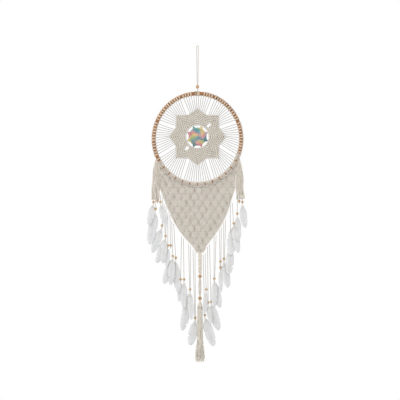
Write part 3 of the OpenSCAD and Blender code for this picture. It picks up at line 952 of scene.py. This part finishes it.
# Top and foot of each bunch as left and right x and the z: the top lies under the hoop's hitches
bunches = {
    "left_bunch": [(-0.1375, -0.121, -0.372), (-0.1515, -0.1245, -0.502)],
    "right_bunch": [(0.121, 0.1375, -0.368), (0.1265, 0.1525, -0.5)]}
side_beads = {
    "left_bunch": [(-0.144, -0.51), (-0.131, -0.506), (-0.137, -0.532)],
    "right_bunch": [(0.1362, -0.507), (0.1465, -0.51), (0.13, -0.548)]}
bunch_cotton = cotton("undyed_bunch_cotton", paint(248, 242, 232), paint(190, 177, 155), 0.7)
for body, (top_row, foot_row) in bunches.items():
    shape = Shape()
    count = round((foot_row[1] - foot_row[0]) / bunch_pitch)
    for layer in range(bunch_layers):
        for n in range(count):
            share = np.clip((n + 0.5 + 0.5 * (layer % 2)) / count + draw.uniform(-0.01, 0.01), 0, 1)
            top_x = top_row[0] + share * (top_row[1] - top_row[0])
            foot_x = foot_row[0] + share * (foot_row[1] - foot_row[0])
            deep = (layer - 1) * bunch_layer_gap
            t = np.linspace(0, 1, 26)
            spread = 1 - (1 - np.clip(t * 2.2, 0, 1)) ** 2
            wave = 0.0017 * np.sin(2 * math.pi * (t * draw.uniform(1.2, 2.6) + draw.uniform(0, 1))) * t
            x = top_x + (foot_x - top_x) * (0.55 * spread + 0.45 * t) + wave
            z = top_row[2] + (foot_row[2] + draw.uniform(-0.0015, 0.001) - top_row[2]) * t
            y = deep + 0.0006 * np.sin(9 * t + n)
            shape.add(*swept(spaced(np.stack([x, y, z], -1), 0.0024), bunch_cord_r, plies=2, lay=0.014))
    bunch = shape.piece(f"{body}_cords", bunch_cotton, None, "fringe_cord", (body,))
    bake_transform(bunch)
    for n, (x, z) in enumerate(side_beads[body]):
        beads, knots, drops = Shape(), Shape(), Shape()
        turned_bead(beads, (x, 0, z), bead_r, bead_bore, n * 2.3 + len(body))
        overhand_knot(knots, (x, 0, z - knot_drop), knot_size, strand_cord_d / 2, n)
        path = spaced([(x + 0.0004, 0, foot_row[2] + drop_inside), (x, 0, (foot_row[2] + z) / 2 + 0.004),
                       (x, 0, z - knot_drop)], cord_step)
        drops.add(*swept(path, strand_cord_d / 2))
        replaced = () if n else (f"{body}_beads",)
        bead = beads.piece(f"{body}_bead_{n + 1}", pale_wood, body, "light_wood", replaced)
        knot = knots.piece(f"{body}_knot_{n + 1}", strand_cotton, body, "cotton_cord")
        drop = drops.piece(f"{body}_bead_cord_{n + 1}", strand_cotton, body, "cotton_cord")


# ---- Centre plait, beads and tassel -----------------------------------------------------------------------
# Under the panel's tip its last cords are plaited in three thick strands. Six thin cords go on through two
# larger beads and end in a long tassel whose cords are combed out at the foot.
centre_x = 0.008
plait_top_z = -0.6765
plait_end_z = -0.743
plait_lump = 0.018
plait_strand_r = 0.003
plait_half_w = 0.0037
plait_half_depth = 0.0026
centre_bead_r = 0.0062
centre_bead_z = [-0.753, -0.825]
tassel_top_z = -0.834
tassel_end_z = -1.034
tassel_cords = 84
tassel_cut = 0.983
centre_cord_r = 0.00095
centre_bore = 0.0032
centre_cotton = cotton("undyed_centre_cotton", paint(246, 241, 232), paint(186, 174, 154), 0.6)
shape = Shape()
t = np.arange(plait_top_z, plait_end_z, -0.0014)
for strand in range(3):
    phase = 2 * math.pi * ((plait_top_z - t) / plait_lump + strand / 3)
    x = centre_x + plait_half_w * np.sin(phase)
    y = -plait_half_depth * np.sin(2 * phase)
    shape.add(*swept(np.stack([x, y, t], -1), plait_strand_r, 12, plies=3, lay=0.022, groove=0.3))
for cord in range(6):
    z = np.linspace(plait_end_z + 0.002, tassel_top_z - 0.004, 60)
    clear = 0.0017 + 0.0028 * np.exp(-(((z + 0.789) / 0.024) ** 4))
    x = centre_x + clear * (cord - 2.5) / 2.5
    y = 0.0011 * (-1) ** cord + 0 * z
    shape.add(*swept(np.stack([x, y, z], -1), centre_cord_r, plies=2, lay=0.01))
shape.piece("centre_plait", centre_cotton, "centre", "cotton_cord", ("centre_braid",))
shape = Shape()
for n, z in enumerate(centre_bead_z):
    turned_bead(shape, (centre_x, 0, z), centre_bead_r, centre_bore, n * 1.9 + 4, 0.95)
red_wood = wood("red_bead_wood", paint(202, 164, 118), paint(146, 106, 66), 0.005)
shape.piece("centre_beads_of_wood", red_wood, "centre", "red_wood", ("centre_beads",))
shape = Shape()
for cord in range(tassel_cords):
    share = math.sqrt((cord + 0.5) / tassel_cords)
    turn = cord * math.pi * (3 - math.sqrt(5))
    t = np.linspace(0, tassel_cut, 30)
    reach = np.interp(t, (0, 0.04, 0.1, 0.65, 1), (0.0024, 0.0052, 0.0082, 0.0098, 0.0168)) * share
    wave = 0.0011 * t * np.sin(2 * math.pi * (t * draw.uniform(3, 5) + draw.uniform(0, 1)))
    sway = 0.0009 * np.sin(2 * math.pi * (t * draw.uniform(2, 4) + draw.uniform(0, 1))) * t
    x = centre_x + reach * math.cos(turn) + wave
    y = reach * math.sin(turn) + sway
    z = tassel_top_z + (tassel_end_z - tassel_top_z + draw.uniform(-0.004, 0.012)) * t
    shape.add(*swept(spaced(np.stack([x, y, z], -1), 0.003), centre_cord_r, 5, plies=2, lay=0.013))
shape.piece("tassel_cords", centre_cotton, "centre", "fringe_cord", ("centre_tassel",))


# ---- Feathers ---------------------------------------------------------------------------------------------
# Goose feathers, washed and undyed, from pale grey to white. Each has a tapering shaft, two webs of barbs
# that have split in a few places, and soft down at its foot. The bare quill is glued into a bead's bore.
def vane_width(t, width):
    """Half width of a feather at share t of its vane: it opens as 1 - 0.8 (1 - t / 0.3)^2 and closes over
    the lower half as the root of 1 - s^2.3, so that the tip is round and blunt."""
    opening = 1 - 0.8 * np.clip(1 - t / 0.3, 0, 1) ** 2
    closing = np.sqrt(1 - np.clip((t - 0.48) / 0.524, 0, 1) ** 2.3)
    return width / 2 * opening * closing


def feather(vanes, shafts, downs, root, length, lean, width, bend, seed):
    """One feather hanging from its root. The shaft leans by the angle and bends sideways and forward; the
    webs droop from it by a little more than the cube of the share of their width, and curl at the edge."""
    chance = np.random.default_rng(seed)
    t = np.linspace(0, 1, 46)
    quill = 0.09
    at = length * (quill + (1 - quill) * t)
    curl = chance.uniform(0.004, 0.011)

    def shaft_at(distance):
        far = distance / length
        side = bend * far**2
        x = root[0] + math.sin(lean) * distance + math.cos(lean) * side
        z = root[2] - math.cos(lean) * distance + math.sin(lean) * side
        return np.stack([x, root[1] - curl * far**2, z], -1)

    middle = shaft_at(at)
    half = vane_width(t, width)
    step = np.gradient(middle, axis=0)
    step = step / np.linalg.norm(step, axis=1, keepdims=True)
    sideways = np.cross(step, (0, 1, 0))
    columns = np.linspace(-1, 1, 11)
    splits = [(chance.uniform(0.25, 0.9), chance.uniform(0.25, 0.6), chance.choice((-1, 1)))
              for _ in range(3)]
    front, back = [], []
    for column in columns:
        notch = np.ones_like(t)
        for place, deep, which in splits:
            if column * which > 0:
                cut = np.exp(-(((t - place - 0.05 * abs(column)) / 0.016) ** 2))
                notch -= deep * cut * (abs(column) > 0.55)
        ragged = 1 + 0.02 * np.sin(t * 70 + seed) * (abs(column) > 0.9)
        reach = half * column * notch * ragged
        slip = -0.28 * np.abs(reach) * (1 - t)
        place = middle + sideways * reach[:, None] - step * slip[:, None]
        cup = 0.05 * width * column**2 + 0.0006 * np.sin(t * 9 + column * 2 + seed) * abs(column)
        thin = 0.00022 * (1.2 - abs(column))
        front.append(place + np.stack([0 * t, cup - thin, 0 * t], -1))
        back.append(place + np.stack([0 * t, cup + thin, 0 * t], -1))
    grid = np.stack(front + back[::-1], 1)
    across = np.abs(np.concatenate([columns, columns[::-1]]))
    vanes.add(grid, np.append(at, length), np.broadcast_to(across, grid.shape[:2]))
    shaft = shaft_at(np.linspace(-0.004, length * 0.93, 22))
    shaft[:, 1] -= 0.0003
    shafts.add(*swept(shaft, np.linspace(0.0009, 0.00022, 22), plies=0))
    for n in range(22):
        start = length * chance.uniform(0.05, 0.2)
        side = chance.choice((-1, 1))
        t = np.linspace(0, 1, 6)
        far = vane_width(np.array(0.16), width) * chance.uniform(0.6, 1.1)
        fall = length * chance.uniform(0.03, 0.1)
        path = shaft_at(start + fall * t**1.5)
        deep = 0.0012 * np.sin(3 * t + n) * chance.choice((-1, 1)) - 0.0004
        path = path + np.stack([side * far * t, deep, 0 * t], -1)
        downs.add(*swept(path, np.linspace(0.00022, 0.0001, 6), 4, plies=0))


# The feathers of each body: x and z of the quill's mouth, its distance to the front, the length, the lean
# and the sideways bend away from the middle, and the width; degrees and metres
feather_rows = {
    "left_bunch": [(-0.144, -0.5145, 0, 0.072, 10, 0.003, 0.023),
                   (-0.137, -0.5365, 0, 0.114, 7, 0.006, 0.029)],
    "left_strand_1": [(-0.1213, -0.5145, 0.0045, 0.08, -12, -0.006, 0.022),
                      (-0.116, -0.5915, 0, 0.09, 18, 0.004, 0.025)],
    "left_strand_2": [(-0.1045, -0.6265, 0, 0.087, 17, 0.003, 0.025),
                      (-0.1045, -0.6265, 0.0035, 0.084, 7, -0.002, 0.021)],
    "left_strand_3": [(-0.097, -0.6565, 0, 0.064, 2, 0.002, 0.018)],
    "left_strand_4": [(-0.081, -0.6915, 0, 0.09, 16, 0.004, 0.026),
                      (-0.081, -0.6915, 0.0035, 0.09, 4, 0, 0.023),
                      (-0.071, -0.6965, 0, 0.112, -3, -0.004, 0.024)],
    "left_strand_5": [(-0.0555, -0.7675, 0, 0.068, 2, 0.002, 0.016),
                      (-0.044, -0.7675, 0, 0.089, 0, 0, 0.022)],
    "left_strand_6": [(-0.0245, -0.8005, 0, 0.132, 9, 0.005, 0.028),
                      (-0.0245, -0.8005, 0.004, 0.094, -2, -0.002, 0.02)],
    "left_strand_7": [(-0.0075, -0.8935, 0, 0.086, 9, 0.003, 0.028)],
    "right_bunch": [(0.1465, -0.5145, 0, 0.08, 4, 0.004, 0.023), (0.13, -0.5525, 0, 0.086, 1, 0.002, 0.022)],
    "right_strand_1": [(0.108, -0.6595, 0.003, 0.087, -3, -0.002, 0.027),
                       (0.1185, -0.5845, 0, 0.1, -8, 0.003, 0.03),
                       (0.1185, -0.5845, 0.0035, 0.092, 6, 0.004, 0.024)],
    "right_strand_2": [(0.0865, -0.7005, 0, 0.09, 6, 0.004, 0.026)],
    "right_strand_3": [(0.075, -0.7285, 0, 0.076, 1, 0.001, 0.014)],
    "right_strand_4": [(0.055, -0.7655, 0, 0.092, 10, 0.003, 0.024),
                       (0.055, -0.7655, 0.0035, 0.088, 0, 0, 0.02)],
    "right_strand_5": [(0.0445, -0.8405, 0, 0.092, 14, 0.003, 0.027),
                       (0.035, -0.8435, 0.003, 0.064, 7, 0, 0.017)],
    "right_strand_6": [(0.024, -0.8845, 0, 0.1, 14, 0.005, 0.03),
                       (0.0285, -0.8005, 0.0045, 0.076, -5, 0, 0.016)]}
plume = Finish("washed_goose_feather", 0.75, sheen=0.3)
plume_place = plume.add("ShaderNodeTexCoord").outputs["UV"]
plume_along = Level(plume, plume.add("ShaderNodeSeparateXYZ", {}, {0: plume_place}).outputs["X"])
barbs = ((plume_along + plume.mark("across") * 0.006) * 1100).wave()
plume_clouds = plume.noise(55.0, 2.0)
plume_share = (plume_clouds * 0.8 + barbs * 0.25 + plume.mark("across") * 0.3 - 0.15).clamp()
plume_colour = plume.mix(plume_share, paint(194, 195, 196), paint(226, 226, 226))
plume_finish = plume.done(plume_colour, barbs, 0.0002, 0.5)
horn = Finish("feather_shaft_horn", 0.4)
horn_streaks = horn.noise(300.0, 2.0)
horn_colour = horn.mix(horn_streaks, paint(206, 200, 188), paint(236, 232, 224))
horn_finish = horn.done(horn_colour, horn_streaks, 0.0001)
down_fluff = Finish("feather_down", 0.9, sheen=0.4)
down_clouds = down_fluff.noise(90.0, 2.0)
down_colour = down_fluff.mix(down_clouds, paint(214, 213, 209), paint(240, 240, 238))
down_finish = down_fluff.done(down_colour, down_clouds, 0.0001)
for number, (body, rows) in enumerate(feather_rows.items()):
    vanes, shafts, downs = Shape(), Shape(), Shape()
    out = -1 if body.startswith("left") else 1
    for n, (x, z, front, length, lean, bend, width) in enumerate(rows):
        root = (x + out * 0.0004 * n, -front, z)
        feather(vanes, shafts, downs, root, length, out * math.radians(lean), width, out * bend,
                number * 5 + n)
    replaced = f"{body}_feathers" if "bunch" in body else body.replace("strand", "feathers")
    vanes.piece(f"{body}_feather_vanes", plume_finish, body, "feather", (replaced,), mark_name="across")
    shafts.piece(f"{body}_feather_shafts", horn_finish, body, "feather")
    downs.piece(f"{body}_feather_down", down_finish, body, "feather")
